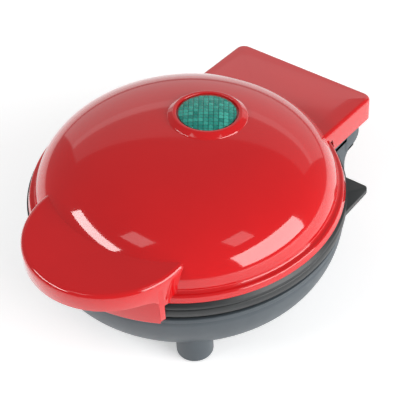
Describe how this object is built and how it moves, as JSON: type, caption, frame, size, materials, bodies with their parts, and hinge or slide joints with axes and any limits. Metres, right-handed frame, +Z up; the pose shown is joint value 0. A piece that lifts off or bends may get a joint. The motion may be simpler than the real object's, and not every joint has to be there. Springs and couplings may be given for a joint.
{
  "type": "taiyaki maker",
  "caption": "Round countertop cooker for fish-shaped cakes: domed lid with front handle and green lamp lens on a rear hinge, fish moulds in the plates, heating elements and wiring inside.",
  "frame": {"origin": "on the table, in the middle of the outline seen from above", "axes": "+Z up; -Y towards the handle and +Y towards the hinge; +X to the right of somebody who faces the handle"},
  "size_m": [0.1284, 0.168, 0.0692],
  "materials": {
    "red_plastic": "glossy moulded",
    "green_lens": "clear green, prismatic inside",
    "black_plastic": "satin moulded",
    "ivory_plastic": "satin moulded",
    "lamp_glass": "clear",
    "zinc_steel": "zinc plated",
    "coated_plate": "black non-stick coat",
    "element_sheath": "dull, heat darkened",
    "pan_sheet": "bright sheet",
    "white_silicone": "satin",
    "grey_plastic": "satin moulded",
    "black_rubber": "matt",
    "brass_clamps": "plain"
  },
  "bodies": {
    "base": {"base_shell": "grey_plastic", "foot_pads": "black_rubber", "base_screws": "zinc_steel", "lower_ring": "black_plastic", "lower_plate": "coated_plate", "lower_plate_screws": "zinc_steel", "lower_element": "element_sheath", "lower_element_pins": "zinc_steel", "lower_reflector": "pan_sheet", "lower_pan_screws": "zinc_steel", "thermostat": "black_plastic", "hinge_pins": "zinc_steel", "cord_grommet": "black_rubber", "terminal_block": "ivory_plastic", "terminal_screws": "brass_clamps", "base_leads": "white_silicone"},
    "lid": {"lid_shell": "red_plastic", "indicator_lens": "green_lens", "lens_retainer": "black_plastic", "lamp_holder": "ivory_plastic", "indicator_lamps": "lamp_glass", "upper_ring": "black_plastic", "lid_screws": "zinc_steel", "upper_plate": "coated_plate", "upper_plate_screws": "zinc_steel", "upper_element": "element_sheath", "upper_element_pins": "zinc_steel", "upper_reflector": "pan_sheet", "upper_pan_screws": "zinc_steel", "lid_leads": "white_silicone", "thermal_fuse": "zinc_steel", "fuse_strap": "pan_sheet"}
  },
  "joints": [
    {"name": "lid_hinge", "type": "hinge", "parent": "base", "child": "lid", "pos_m": [0, 0.07245, 0.0275], "axis": [-1, 0, 0], "range_deg": [0, 100]}
  ]
}
